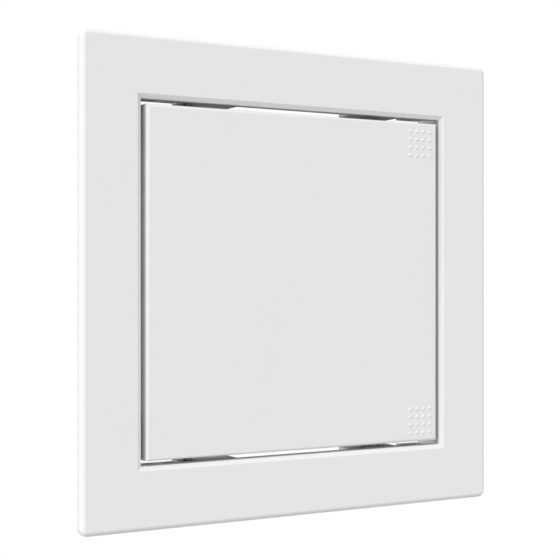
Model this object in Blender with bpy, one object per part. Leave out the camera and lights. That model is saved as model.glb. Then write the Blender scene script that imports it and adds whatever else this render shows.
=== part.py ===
# Snap-shut access panel for a ceiling or a wall, white moulded plastic.
# A square frame lines the hole in the board. Its door turns on two pins near the left edge. Two sprung
# snap bolts, above and below, hold it shut beside the dotted corners that are pressed to close it.
# World axes: front towards -Y, +X to the right, +Z up. Y = 0 is the face of the board, and the
# origin is the middle of the hole in it.

import math

import bmesh
import bpy
from mathutils import Matrix, Vector

MM = 0.001

# Frame
FRAME_SIDE = 167.4 * MM
FLANGE_DEPTH = 3.5 * MM
FLANGE_SKIN = 2.0 * MM
FLANGE_LIP = 1.8 * MM
EDGE_FILLET = 2.2 * MM
PLAN_RADIUS = 2.0 * MM
BORDER = 21.8 * MM
CHAMFER_WIDTH = 1.55 * MM
CHAMFER_DEPTH = 1.15 * MM
INNER_RADIUS = 0.3 * MM
FLANGE_COVER = 10.7 * MM
COLLAR_WALL = 2.0 * MM
COLLAR_DEPTH = 24.0 * MM
COLLAR_RADIUS = 3.0 * MM

# Rim round the opening. Above and below it is low in the middle, deepest at its tabs, low again in a
# short notch outside each tab and a little less deep at its corners, where it has a round hole. The
# upright sides are low in the middle, as deep as the tabs above and below it, and less at the corners.
RIM_WALL = 1.5 * MM
RIM_LOW = 1.8 * MM
RIM_CORNER = 6.2 * MM
TAB_DEPTH = 10.2 * MM
TAB_INSET = 27.65 * MM
TAB_WIDTH = 21.3 * MM
TAB_BEVEL = 1.5 * MM
TAB_NOTCH = 3.4 * MM
RIM_HOLE_RADIUS = 1.7 * MM
RIM_HOLE_INSET = 8.3 * MM

# Door
DOOR_GAP = 1.7 * MM
PLATE = 2.0 * MM
DOOR_FILLET = 0.8 * MM
DOOR_RADIUS = 1.5 * MM
SKIRT_WALL = 1.5 * MM
SKIRT_DEPTH = 8.0 * MM
RIB_WALL = 1.2 * MM
RIB_HEIGHT = 3.0 * MM
RIB_PITCH = 26.0 * MM

# Press points
DOT_PITCH = 3.0 * MM
DOT_ROWS = 4
DOT_RADIUS = 0.68 * MM
DOT_HEIGHT = 0.4 * MM
DOT_INSET = 7.9 * MM
DOT_SIDES = 10
DOT_SHOULDER = 0.72
DOT_SHOULDER_RISE = 0.62

# Hinge
HINGE_INSET = 20.4 * MM
HINGE_BEHIND_FRONT = 7.5 * MM
PIN_RADIUS = 1.5 * MM
PIN_HEAD_RADIUS = 2.6 * MM
PIN_HEAD = 1.0 * MM
BOSS_RADIUS = 3.4 * MM
BOSS_LENGTH = 2.8 * MM
LUG_RADIUS = 4.0 * MM
LUG_LENGTH = 11.0 * MM
PIN_IN_LUG = 8.0 * MM

# Latch
BOLT_WIDTH = 9.0 * MM
BOLT_THICK = 5.0 * MM
BOLT_BODY = 9.0 * MM
NOSE_WIDTH = 6.4 * MM
NOSE_TAPER = 0.4 * MM
NOSE_BITE = 1.0 * MM
BEVEL_RUN = 1.4 * MM
BEVEL_DEPTH = 2.1 * MM
KEEPER_CLEAR = 0.8 * MM
GUIDE_WALL = 3.5 * MM
GUIDE_END = 1.8 * MM
SPRING_ROOM = 9.0 * MM
SPRING_RADIUS = 1.35 * MM
SPRING_WIRE = 0.22 * MM
SPRING_TURNS = 6
COVER_PLATE = 1.2 * MM
PEG_RADIUS = 1.0 * MM
PEG_LENGTH = 2.6 * MM

# Stops on the right-hand side of the rim, near its corners
STOP_REACH = 5.5 * MM
STOP_WIDTH = 11.0 * MM
PAD_RADIUS = 2.2 * MM
PAD_THICK = 1.2 * MM
PAD_DOWN = 7.4 * MM

# Fixing holes and stiffening webs
FIXING_RADIUS = 2.1 * MM
FIXING_INSET = 28.0 * MM
FIXING_DEPTH = 14.0 * MM
WEB_WALL = 1.2 * MM
WEB_OFFSETS = (0.0, 16.0 * MM)
WEB_DEPTH = 3.0 * MM
OUTER_WEB_OFFSETS = (0.0, 28.0 * MM, 56.0 * MM)

CLEAR = 0.3 * MM
MERGE = 0.4 * MM
BITE = 0.1 * MM

ARC_STEPS = 5
CORNER_STEPS = 4
ROUND_STEPS = 24

# Places that follow from the sizes above
FRONT_Y = -FLANGE_DEPTH
FRAME_HALF = FRAME_SIDE / 2
OPENING_HALF = FRAME_HALF - BORDER
COLLAR_HALF = FRAME_HALF - FLANGE_COVER
SKIN_Y = FRONT_Y + FLANGE_SKIN
DOOR_HALF = OPENING_HALF - DOOR_GAP
SKIRT_Y = FRONT_Y + SKIRT_DEPTH
SKIRT_INNER = DOOR_HALF - SKIRT_WALL
PLATE_Y = FRONT_Y + PLATE
HINGE_X = HINGE_INSET - OPENING_HALF
HINGE_Y = FRONT_Y + HINGE_BEHIND_FRONT
TAB_CENTRE = OPENING_HALF - TAB_INSET
FIXING_OFFSET = COLLAR_HALF - FIXING_INSET
DOT_PAD_CENTRE = DOOR_HALF - DOT_INSET
RIM_OUTER = OPENING_HALF + RIM_WALL
BOLT_Y = RIM_LOW + CLEAR - BEVEL_DEPTH * (1.0 - NOSE_BITE / BEVEL_RUN)
BOLT_BACK_Y = BOLT_Y + BOLT_THICK
BOLT_TIP_Z = OPENING_HALF + NOSE_BITE
BOLT_SHOULDER_Z = SKIRT_INNER - CLEAR
BOLT_TAIL_Z = BOLT_SHOULDER_Z - BOLT_BODY
SPRING_END_Z = BOLT_TAIL_Z - SPRING_ROOM
CHANNEL_HALF = BOLT_WIDTH / 2 + CLEAR
CHANNEL_Y = BOLT_Y - CLEAR
GUIDE_HALF = CHANNEL_HALF + GUIDE_WALL
GUIDE_BACK_Y = BOLT_BACK_Y + CLEAR
GUIDE_LOW_Z = SPRING_END_Z - CLEAR - GUIDE_END
PAD_Y = SKIRT_Y + CLEAR
PAD_X = DOOR_HALF - SKIRT_WALL / 2
PAD_Z = DOOR_HALF - PAD_DOWN
SHELF_Y = PAD_Y + PAD_THICK + CLEAR
HINGE_AXIS = Vector((HINGE_X, HINGE_Y, 0.0))
BOLT_AXIS = Vector((TAB_CENTRE, BOLT_Y + BOLT_THICK / 2, 0.0))


def clear_scene():
    for item in list(bpy.data.objects):
        bpy.data.objects.remove(item, do_unlink=True)


def material(name, colour, roughness, metallic=0.0):
    made = bpy.data.materials.new(name)
    made.use_nodes = True
    shader = made.node_tree.nodes["Principled BSDF"]
    shader.inputs["Base Color"].default_value = (*colour, 1.0)
    shader.inputs["Roughness"].default_value = roughness
    shader.inputs["Metallic"].default_value = metallic
    made.diffuse_color = (*colour, 1.0)
    return made


def white_plastic():
    return material("white_abs", (0.86, 0.86, 0.86), 0.38)


def bolt_plastic():
    return material("grey_acetal", (0.30, 0.30, 0.31), 0.45)


def pin_metal():
    return material("black_steel", (0.20, 0.20, 0.21), 0.35, 1.0)


def spring_steel():
    return material("spring_steel", (0.55, 0.56, 0.58), 0.28, 1.0)


def pad_rubber():
    return material("pad_rubber", (0.70, 0.70, 0.69), 0.80)


def place(name, mesh, finish=None, axis=Vector()):
    """Puts a shape in the scene, with its origin on the axis it turns or slides on."""
    mesh.transform(Matrix.Translation(-axis))
    item = bpy.data.objects.new(name, mesh)
    item.location = axis
    bpy.context.scene.collection.objects.link(item)
    bpy.context.view_layer.update()
    if finish:
        item.data.materials.append(finish)
    return item


def mesh_from(name, bm, smooth=True, angle=30.0):
    bmesh.ops.recalc_face_normals(bm, faces=bm.faces)
    mesh = bpy.data.meshes.new(name)
    bm.to_mesh(mesh)
    bm.free()
    if smooth:
        mesh.shade_smooth()
        mesh.set_sharp_from_angle(angle=math.radians(angle))
    return mesh


def tool(name, bm):
    """A shape that is only added to or cut from a piece."""
    item = place(name, mesh_from(name, bm, smooth=False))
    item.hide_render = True
    item.display_type = "WIRE"
    return item


def combine(item, other, operation):
    step = item.modifiers.new(other.name, "BOOLEAN")
    step.operation = operation
    step.solver = "EXACT"
    step.object = other


def rounded_square(bm, half, radius, y):
    """One loop of corners about the Y axis, the same number of points at every size."""
    loop = []
    middle = half - radius
    for quarter in range(4):
        centre = Vector((middle, 0.0, middle))
        for step in range(CORNER_STEPS + 1):
            turn = math.radians(90.0) * step / CORNER_STEPS
            corner = centre + radius * Vector((math.cos(turn), 0.0, math.sin(turn)))
            corner.y = y
            loop.append(Matrix.Rotation(-math.radians(90.0) * quarter, 3, "Y") @ corner)
    return [bm.verts.new(point) for point in loop]


def loft(bm, loops, closed):
    pairs = list(zip(loops, loops[1:]))
    if closed:
        pairs.append((loops[-1], loops[0]))
    for low, high in pairs:
        count = len(low)
        for index in range(count):
            after = (index + 1) % count
            bm.faces.new((low[index], low[after], high[after], high[index]))


def prism(bm, outline, low, high, axis="Y"):
    """A flat outline pushed along one axis. The outline gives the other two axes in order."""
    def point(pair, level):
        first, second = pair
        return {"X": (level, first, second), "Y": (first, level, second), "Z": (first, second, level)}[axis]

    base = [bm.verts.new(point(pair, low)) for pair in outline]
    top = [bm.verts.new(point(pair, high)) for pair in outline]
    bm.faces.new(base)
    bm.faces.new(top)
    count = len(outline)
    for index in range(count):
        after = (index + 1) % count
        bm.faces.new((base[index], base[after], top[after], top[index]))


def box(bm, low, high):
    prism(bm, [(low[0], low[2]), (high[0], low[2]), (high[0], high[2]), (low[0], high[2])], low[1], high[1])


def cylinder(bm, centre, radius, low, high, axis="Z", steps=ROUND_STEPS):
    outline = []
    for step in range(steps):
        turn = math.tau * step / steps
        outline.append((centre[0] + radius * math.cos(turn), centre[1] + radius * math.sin(turn)))
    prism(bm, outline, low, high, axis)


def fillet_points(outer, front, radius):
    """Half sizes and depths round the front edge, from the side to the face."""
    points = []
    for step in range(ARC_STEPS + 1):
        turn = math.radians(90.0) * step / ARC_STEPS
        points.append((outer - radius + radius * math.cos(turn), front + radius - radius * math.sin(turn)))
    return points


def mirror_z(bm):
    """Adds the same shapes below the middle."""
    copy = bmesh.ops.duplicate(bm, geom=bm.verts[:] + bm.edges[:] + bm.faces[:])
    verts = [part for part in copy["geom"] if isinstance(part, bmesh.types.BMVert)]
    bmesh.ops.scale(bm, vec=(1.0, 1.0, -1.0), verts=verts)


# Frame

def frame_ring():
    """The whole frame section swept round the square: flange, chamfer, rim and collar in one skin."""
    bm = bmesh.new()
    lip_inner = FRAME_HALF - FLANGE_LIP
    collar_inner = COLLAR_HALF - COLLAR_WALL
    section = [(FRAME_HALF, 0.0, PLAN_RADIUS)]
    for half, y in fillet_points(FRAME_HALF, FRONT_Y, EDGE_FILLET):
        section.append((half, y, max(INNER_RADIUS, PLAN_RADIUS - FRAME_HALF + half)))
    section += [
        (OPENING_HALF + CHAMFER_WIDTH, FRONT_Y, INNER_RADIUS),
        (OPENING_HALF, FRONT_Y + CHAMFER_DEPTH, INNER_RADIUS),
        (OPENING_HALF, TAB_DEPTH, INNER_RADIUS),
        (RIM_OUTER, TAB_DEPTH, INNER_RADIUS),
        (RIM_OUTER, SKIN_Y, INNER_RADIUS),
        (collar_inner, SKIN_Y, COLLAR_RADIUS - COLLAR_WALL),
        (collar_inner, COLLAR_DEPTH, COLLAR_RADIUS - COLLAR_WALL),
        (COLLAR_HALF, COLLAR_DEPTH, COLLAR_RADIUS),
        (COLLAR_HALF, SKIN_Y, COLLAR_RADIUS),
        (lip_inner, SKIN_Y, INNER_RADIUS),
        (lip_inner, 0.0, INNER_RADIUS),
    ]
    loops = [rounded_square(bm, half, radius, y) for half, y, radius in section]
    loft(bm, loops, closed=True)
    return mesh_from("frame", bm)


def rim_notches():
    """What is taken off the rim: its middle and corner stretches above and below, and both sides."""
    bm = bmesh.new()
    past = TAB_DEPTH + MERGE
    tab_in = TAB_CENTRE - TAB_WIDTH / 2
    tab_out = TAB_CENTRE + TAB_WIDTH / 2
    inner = OPENING_HALF - MERGE
    outer = RIM_OUTER + MERGE
    middle = [(-tab_in - TAB_BEVEL, past), (-tab_in, TAB_DEPTH - TAB_BEVEL), (-tab_in, RIM_LOW)]
    middle += [(tab_in, RIM_LOW), (tab_in, TAB_DEPTH - TAB_BEVEL), (tab_in + TAB_BEVEL, past)]
    prism(bm, middle, inner, outer, "Z")
    for side in (-1, 1):
        notch_end = side * (tab_out + TAB_NOTCH)
        corner = [(side * (tab_out - TAB_BEVEL), past), (side * tab_out, TAB_DEPTH - TAB_BEVEL)]
        corner += [(side * tab_out, RIM_LOW), (notch_end, RIM_LOW), (notch_end, RIM_CORNER)]
        corner += [(side * outer, RIM_CORNER), (side * outer, past)]
        prism(bm, corner, inner, outer, "Z")
    mirror_z(bm)
    return tool("rim_notches", bm)


def side_notches():
    """The two upright sides of the rim are low in the middle and less deep again at the corners."""
    bm = bmesh.new()
    past = TAB_DEPTH + MERGE
    tall = TAB_CENTRE + TAB_WIDTH / 2
    corner = PAD_Z + STOP_WIDTH / 2 + CLEAR
    top = OPENING_HALF + RIM_WALL / 2
    outline = [(past, -tall - TAB_BEVEL), (TAB_DEPTH - TAB_BEVEL, -tall), (RIM_LOW, -tall)]
    outline += [(RIM_LOW, tall), (TAB_DEPTH - TAB_BEVEL, tall), (past, tall + TAB_BEVEL)]
    for side in (-1, 1):
        low, high = sorted((side * (OPENING_HALF - MERGE), side * (RIM_OUTER + MERGE)))
        prism(bm, outline, low, high, "X")
        box(bm, (low, RIM_CORNER, corner), (high, past, top))
        box(bm, (low, RIM_CORNER, -top), (high, past, -corner))
    return tool("side_notches", bm)


def rim_holes():
    """A round hole through the rim near each corner, above and below."""
    bm = bmesh.new()
    for side in (-1, 1):
        centre = (side * (OPENING_HALF - RIM_HOLE_INSET), HINGE_Y)
        cylinder(bm, centre, RIM_HOLE_RADIUS, OPENING_HALF - MERGE, RIM_OUTER + MERGE)
    mirror_z(bm)
    return tool("rim_holes", bm)


def pin_bosses():
    bm = bmesh.new()
    cylinder(bm, (HINGE_X, HINGE_Y), BOSS_RADIUS, RIM_OUTER - MERGE, RIM_OUTER + BOSS_LENGTH)
    mirror_z(bm)
    return tool("pin_bosses", bm)


def pin_bores():
    bm = bmesh.new()
    reach = RIM_OUTER + BOSS_LENGTH + MERGE
    cylinder(bm, (HINGE_X, HINGE_Y), PIN_RADIUS + CLEAR, OPENING_HALF - MERGE, reach)
    mirror_z(bm)
    return tool("pin_bores", bm)


def keeper_notches():
    """Open at the back of the tab. The low rim left in front is the ledge that a bolt snaps behind."""
    bm = bmesh.new()
    half = NOSE_WIDTH / 2 + KEEPER_CLEAR
    low = (TAB_CENTRE - half, RIM_LOW, OPENING_HALF - MERGE)
    high = (TAB_CENTRE + half, TAB_DEPTH + MERGE, RIM_OUTER + MERGE)
    box(bm, low, high)
    mirror_z(bm)
    return tool("keeper_notches", bm)


def stop_shelves():
    """Brackets inside the right-hand rim, which carry the soft stop pads behind the door's edge."""
    bm = bmesh.new()
    root = OPENING_HALF + RIM_WALL / 2
    end = OPENING_HALF - STOP_REACH
    half = STOP_WIDTH / 2
    narrow = half - STOP_REACH / 2
    outline = [(root, PAD_Z - half), (root, PAD_Z + half), (end, PAD_Z + narrow), (end, PAD_Z - narrow)]
    prism(bm, outline, SHELF_Y, TAB_DEPTH - BITE, "Y")
    mirror_z(bm)
    return tool("stop_shelves", bm)


def turned_copies(bm):
    """Repeats what is above the opening on its other three sides."""
    first = bm.verts[:] + bm.edges[:] + bm.faces[:]
    for quarter in range(1, 4):
        copy = bmesh.ops.duplicate(bm, geom=first)
        verts = [part for part in copy["geom"] if isinstance(part, bmesh.types.BMVert)]
        turn = Matrix.Rotation(math.radians(90.0) * quarter, 3, "Y")
        bmesh.ops.rotate(bm, cent=(0.0, 0.0, 0.0), matrix=turn, verts=verts)


def inner_webs():
    """Short webs behind the flange, from the rim to the collar."""
    bm = bmesh.new()
    for offset in sorted({side * place_x for place_x in WEB_OFFSETS for side in (-1, 1)}):
        low = (offset - WEB_WALL / 2, SKIN_Y - MERGE, RIM_OUTER - MERGE)
        high = (offset + WEB_WALL / 2, SKIN_Y + WEB_DEPTH, COLLAR_HALF - COLLAR_WALL + MERGE)
        box(bm, low, high)
    turned_copies(bm)
    return tool("inner_webs", bm)


def outer_webs():
    """Shallow webs behind the flange, outside the collar, just short of the board."""
    bm = bmesh.new()
    for offset in sorted({side * place_x for place_x in OUTER_WEB_OFFSETS for side in (-1, 1)}):
        low = (offset - WEB_WALL / 2, SKIN_Y - MERGE, COLLAR_HALF - MERGE)
        high = (offset + WEB_WALL / 2, -CLEAR, FRAME_HALF - FLANGE_LIP + MERGE)
        box(bm, low, high)
    turned_copies(bm)
    return tool("outer_webs", bm)


def fixing_holes():
    """Two screw holes in each wall of the collar."""
    bm = bmesh.new()
    for side in (-1, 1):
        centre = (side * FIXING_OFFSET, FIXING_DEPTH)
        cylinder(bm, centre, FIXING_RADIUS, COLLAR_HALF - COLLAR_WALL - MERGE, COLLAR_HALF + MERGE)
    turned_copies(bm)
    return tool("fixing_holes", bm)


def make_frame(finish):
    frame = place("frame", frame_ring(), finish)
    combine(frame, rim_notches(), "DIFFERENCE")
    combine(frame, side_notches(), "DIFFERENCE")
    combine(frame, rim_holes(), "DIFFERENCE")
    combine(frame, inner_webs(), "UNION")
    combine(frame, outer_webs(), "UNION")
    combine(frame, stop_shelves(), "UNION")
    combine(frame, pin_bosses(), "UNION")
    combine(frame, pin_bores(), "DIFFERENCE")
    combine(frame, keeper_notches(), "DIFFERENCE")
    combine(frame, fixing_holes(), "DIFFERENCE")
    return frame


# Door

def door_tray():
    """A flat front with a rounded edge, drawn back into a skirt on all four sides."""
    bm = bmesh.new()
    section = [(half, y) for half, y in fillet_points(DOOR_HALF, FRONT_Y, DOOR_FILLET)]
    section.reverse()
    section += [(DOOR_HALF, SKIRT_Y), (SKIRT_INNER, SKIRT_Y), (SKIRT_INNER, PLATE_Y)]
    loops = []
    for half, y in section:
        radius = max(INNER_RADIUS, DOOR_RADIUS - DOOR_HALF + half)
        loops.append(rounded_square(bm, half, radius, y))
    loft(bm, loops, closed=False)
    bm.faces.new(loops[0])
    bm.faces.new(loops[-1])
    return mesh_from("door", bm)


def door_ribs(upright):
    """Stiffening ribs across the back of the plate, one direction at a time."""
    bm = bmesh.new()
    reach = SKIRT_INNER + SKIRT_WALL / 2
    for offset in (-RIB_PITCH / 2, RIB_PITCH / 2):
        low = [-reach, PLATE_Y - MERGE, offset - RIB_WALL / 2]
        high = [reach, PLATE_Y + RIB_HEIGHT, offset + RIB_WALL / 2]
        if upright:
            low = [low[2], low[1], low[0]]
            high = [high[2], high[1], high[0]]
        box(bm, low, high)
    return tool("upright_ribs" if upright else "level_ribs", bm)


def hinge_lugs():
    """Round-backed lugs inside the skirt, bored for the pins."""
    bm = bmesh.new()
    outline = [(HINGE_X + LUG_RADIUS, PLATE_Y - MERGE)]
    for step in range(ROUND_STEPS // 2 + 1):
        turn = math.pi * step / (ROUND_STEPS // 2)
        outline.append((HINGE_X + LUG_RADIUS * math.cos(turn), HINGE_Y + LUG_RADIUS * math.sin(turn)))
    outline.append((HINGE_X - LUG_RADIUS, PLATE_Y - MERGE))
    prism(bm, outline, DOOR_HALF - LUG_LENGTH, DOOR_HALF - BITE, "Z")
    mirror_z(bm)
    return tool("hinge_lugs", bm)


def lug_bores():
    bm = bmesh.new()
    depth = DOOR_HALF - PIN_IN_LUG - CLEAR
    cylinder(bm, (HINGE_X, HINGE_Y), PIN_RADIUS + CLEAR, depth, DOOR_HALF + MERGE)
    mirror_z(bm)
    return tool("lug_bores", bm)


def bolt_guides():
    """Blocks behind the plate that house the bolts and their springs."""
    bm = bmesh.new()
    low = (TAB_CENTRE - GUIDE_HALF, PLATE_Y - MERGE, GUIDE_LOW_Z)
    high = (TAB_CENTRE + GUIDE_HALF, GUIDE_BACK_Y, DOOR_HALF - BITE)
    box(bm, low, high)
    mirror_z(bm)
    return tool("bolt_guides", bm)


def bolt_channels():
    """The wide channel for bolt and spring, and the narrower mouth through the skirt."""
    bm = bmesh.new()
    past = GUIDE_BACK_Y + MERGE
    mouth = NOSE_WIDTH / 2 + CLEAR
    low_z = GUIDE_LOW_Z + GUIDE_END
    high_z = DOOR_HALF + MERGE
    outline = [(-CHANNEL_HALF, low_z), (CHANNEL_HALF, low_z), (CHANNEL_HALF, SKIRT_INNER)]
    outline += [(mouth, SKIRT_INNER), (mouth, high_z), (-mouth, high_z)]
    outline += [(-mouth, SKIRT_INNER), (-CHANNEL_HALF, SKIRT_INNER)]
    prism(bm, [(TAB_CENTRE + x, z) for x, z in outline], CHANNEL_Y, past, "Y")
    mirror_z(bm)
    return tool("bolt_channels", bm)


def peg_places():
    """Where the cover's pegs go, above the middle."""
    side = CHANNEL_HALF + GUIDE_WALL / 2
    levels = (GUIDE_LOW_Z + GUIDE_WALL, DOOR_HALF - GUIDE_WALL)
    return [(TAB_CENTRE + end * side, level) for end in (-1, 1) for level in levels]


def peg_holes():
    bm = bmesh.new()
    for centre in peg_places():
        deep = GUIDE_BACK_Y - PEG_LENGTH
        cylinder(bm, centre, PEG_RADIUS + CLEAR, deep, GUIDE_BACK_Y + MERGE, "Y", ROUND_STEPS // 2)
    mirror_z(bm)
    return tool("peg_holes", bm)


def dot(bm, x, z):
    """One low dome with its foot inside the plate."""
    shoulder_y = FRONT_Y - DOT_SHOULDER_RISE * DOT_HEIGHT
    rings = ((1.0, FRONT_Y + MERGE), (1.0, FRONT_Y), (DOT_SHOULDER, shoulder_y))
    loops = []
    for share, y in rings:
        loop = []
        for step in range(DOT_SIDES):
            turn = math.tau * step / DOT_SIDES
            reach = DOT_RADIUS * share
            loop.append(bm.verts.new((x + reach * math.cos(turn), y, z + reach * math.sin(turn))))
        loops.append(loop)
    loft(bm, loops, closed=False)
    bm.faces.new(loops[0])
    peak = bm.verts.new((x, FRONT_Y - DOT_HEIGHT, z))
    top = loops[-1]
    for index, corner in enumerate(top):
        bm.faces.new((corner, top[(index + 1) % DOT_SIDES], peak))


def press_dots():
    """A square of small domes in each right-hand corner."""
    bm = bmesh.new()
    start = DOT_PAD_CENTRE - DOT_PITCH * (DOT_ROWS - 1) / 2
    for row in range(DOT_ROWS):
        for column in range(DOT_ROWS):
            dot(bm, start + column * DOT_PITCH, start + row * DOT_PITCH)
    mirror_z(bm)
    return tool("press_dots", bm)


def make_door(finish):
    door = place("door", door_tray(), finish, HINGE_AXIS)
    combine(door, door_ribs(True), "UNION")
    combine(door, door_ribs(False), "UNION")
    combine(door, hinge_lugs(), "UNION")
    combine(door, bolt_guides(), "UNION")
    combine(door, press_dots(), "UNION")
    combine(door, lug_bores(), "DIFFERENCE")
    combine(door, bolt_channels(), "DIFFERENCE")
    combine(door, peg_holes(), "DIFFERENCE")
    return door


# Small pieces, each made above the middle and turned over for the one below

def flip(mesh):
    copy = mesh.copy()
    copy.transform(Matrix.Scale(-1.0, 4, (0.0, 0.0, 1.0)))
    copy.flip_normals()
    return copy


def pair(name, mesh, finish, axis=Vector()):
    mesh.materials.append(finish)
    below = place(name + "_bottom", flip(mesh), axis=axis)
    above = place(name + "_top", mesh, axis=axis)
    return above, below


def pin_mesh():
    """A headed pin turned about its own axis, from its tip in the lug to its head."""
    bm = bmesh.new()
    tip = DOOR_HALF - PIN_IN_LUG
    head = RIM_OUTER + BOSS_LENGTH + CLEAR
    chamfer = CLEAR
    section = [(PIN_RADIUS - chamfer, tip), (PIN_RADIUS, tip + chamfer), (PIN_RADIUS, head)]
    section += [(PIN_HEAD_RADIUS, head), (PIN_HEAD_RADIUS, head + PIN_HEAD - chamfer)]
    section += [(PIN_HEAD_RADIUS - chamfer, head + PIN_HEAD)]
    loops = []
    for radius, z in section:
        loop = []
        for step in range(ROUND_STEPS):
            turn = math.tau * step / ROUND_STEPS
            x = HINGE_X + radius * math.cos(turn)
            y = HINGE_Y + radius * math.sin(turn)
            loop.append(bm.verts.new((x, y, z)))
        loops.append(loop)
    loft(bm, loops, closed=False)
    bm.faces.new(loops[0])
    bm.faces.new(loops[-1])
    return mesh_from("hinge_pin", bm)


def bolt_mesh():
    """Body with a narrower nose, bevelled in front and behind, so that it snaps in and out."""
    bm = bmesh.new()
    half = BOLT_WIDTH / 2
    nose = NOSE_WIDTH / 2
    neck = BOLT_TIP_Z - BEVEL_RUN
    body = [(-half, BOLT_TAIL_Z), (half, BOLT_TAIL_Z), (half, BOLT_SHOULDER_Z), (nose, BOLT_SHOULDER_Z)]
    body += [(nose, neck), (-nose, neck), (-nose, BOLT_SHOULDER_Z), (-half, BOLT_SHOULDER_Z)]
    prism(bm, [(TAB_CENTRE + x, z) for x, z in body], BOLT_Y, BOLT_BACK_Y, "Y")
    crown = next(face for face in bm.faces if face.calc_center_median().z > neck - BITE)
    lifted = bmesh.ops.extrude_face_region(bm, geom=[crown])["geom"]
    bmesh.ops.delete(bm, geom=[crown], context="FACES_ONLY")
    for vert in (part for part in lifted if isinstance(part, bmesh.types.BMVert)):
        inward = BEVEL_DEPTH if vert.co.y < BOLT_Y + BITE else -BEVEL_DEPTH
        sideways = NOSE_TAPER if vert.co.x < TAB_CENTRE else -NOSE_TAPER
        vert.co += Vector((sideways, inward, BEVEL_RUN))
    return mesh_from("latch_bolt", bm, smooth=False)


def spring_curve(name, side):
    """A helix of round wire between the bolt's tail and the end of its channel."""
    curve = bpy.data.curves.new(name, "CURVE")
    curve.dimensions = "3D"
    curve.bevel_depth = SPRING_WIRE
    curve.bevel_resolution = 1
    curve.use_fill_caps = True
    start = SPRING_END_Z + SPRING_WIRE
    length = SPRING_ROOM - CLEAR - 2 * SPRING_WIRE
    steps = 14 * SPRING_TURNS
    spline = curve.splines.new("POLY")
    spline.points.add(steps)
    for index in range(steps + 1):
        share = index / steps
        turn = math.tau * SPRING_TURNS * share
        x = TAB_CENTRE + SPRING_RADIUS * math.cos(turn)
        y = BOLT_Y + BOLT_THICK / 2 + SPRING_RADIUS * math.sin(turn)
        spline.points[index].co = (x, y, side * (start + length * share), 1.0)
    return curve


def cover_mesh():
    """A plate over the channel, with four pegs pressed into the guide."""
    bm = bmesh.new()
    low = GUIDE_BACK_Y + CLEAR
    high = low + COVER_PLATE
    bevel = COVER_PLATE
    left, right = TAB_CENTRE - GUIDE_HALF, TAB_CENTRE + GUIDE_HALF
    bottom, top = GUIDE_LOW_Z, DOOR_HALF - BITE
    outline = [(left + bevel, bottom), (right - bevel, bottom), (right, bottom + bevel), (right, top - bevel)]
    outline += [(right - bevel, top), (left + bevel, top), (left, top - bevel), (left, bottom + bevel)]
    prism(bm, outline, low, high, "Y")
    return mesh_from("latch_cover", bm, smooth=False)


def cover_pegs(side):
    bm = bmesh.new()
    low = GUIDE_BACK_Y - PEG_LENGTH + CLEAR
    for x, z in peg_places():
        cylinder(bm, (x, side * z), PEG_RADIUS, low, GUIDE_BACK_Y + CLEAR + MERGE, "Y", ROUND_STEPS // 2)
    return tool("cover_pegs_top" if side > 0 else "cover_pegs_bottom", bm)


def pad_mesh():
    """A soft disc with a rounded front edge."""
    bm = bmesh.new()
    edge = PAD_THICK / 3
    section = [(PAD_RADIUS, PAD_Y + PAD_THICK), (PAD_RADIUS, PAD_Y + edge), (PAD_RADIUS - edge, PAD_Y)]
    loops = []
    for radius, y in section:
        loop = []
        for step in range(ROUND_STEPS):
            turn = math.tau * step / ROUND_STEPS
            loop.append(bm.verts.new((PAD_X + radius * math.cos(turn), y, PAD_Z + radius * math.sin(turn))))
        loops.append(loop)
    loft(bm, loops, closed=False)
    bm.faces.new(loops[0])
    bm.faces.new(loops[-1])
    return mesh_from("stop_pad", bm)


def main():
    clear_scene()
    plastic = white_plastic()
    make_frame(plastic)
    make_door(plastic)
    pair("hinge_pin", pin_mesh(), pin_metal())
    pair("latch_bolt", bolt_mesh(), bolt_plastic(), BOLT_AXIS)
    pair("stop_pad", pad_mesh(), pad_rubber())
    covers = pair("latch_cover", cover_mesh(), plastic, HINGE_AXIS)
    for cover, side in zip(covers, (1, -1)):
        combine(cover, cover_pegs(side), "UNION")
    wire = spring_steel()
    for name, side in (("latch_spring_top", 1), ("latch_spring_bottom", -1)):
        place(name, spring_curve(name, side), wire)


main()
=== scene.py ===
import math

import bmesh
import bpy
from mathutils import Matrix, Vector


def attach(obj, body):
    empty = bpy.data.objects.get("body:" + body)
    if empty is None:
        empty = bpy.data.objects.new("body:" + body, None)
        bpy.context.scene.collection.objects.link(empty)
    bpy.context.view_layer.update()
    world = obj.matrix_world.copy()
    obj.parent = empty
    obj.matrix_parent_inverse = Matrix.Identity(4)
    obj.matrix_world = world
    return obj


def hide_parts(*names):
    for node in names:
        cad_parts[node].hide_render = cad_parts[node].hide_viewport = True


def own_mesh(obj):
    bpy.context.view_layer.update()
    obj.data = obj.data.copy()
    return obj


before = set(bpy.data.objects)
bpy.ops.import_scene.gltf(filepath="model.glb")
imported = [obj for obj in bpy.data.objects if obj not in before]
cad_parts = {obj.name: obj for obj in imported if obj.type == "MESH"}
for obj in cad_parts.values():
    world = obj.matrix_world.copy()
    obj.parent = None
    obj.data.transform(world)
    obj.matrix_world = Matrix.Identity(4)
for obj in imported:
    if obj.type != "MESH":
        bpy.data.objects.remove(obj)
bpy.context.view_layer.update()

MM = 0.001
SMALL = 0.02 * MM

# The photograph's view: a level camera that stands left of the panel and is turned to the right
VIEW_TURN = math.radians(29.79)
FLAT_FRONT = 163.65 * MM
STAND_OFF = 2.47442 * FLAT_FRONT
SIDEWAYS = -1.46985 * FLAT_FRONT
CAMERA_UP = 0.8 * MM
LENS_MM = 84.48
SENSOR_MM = 36.0

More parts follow.
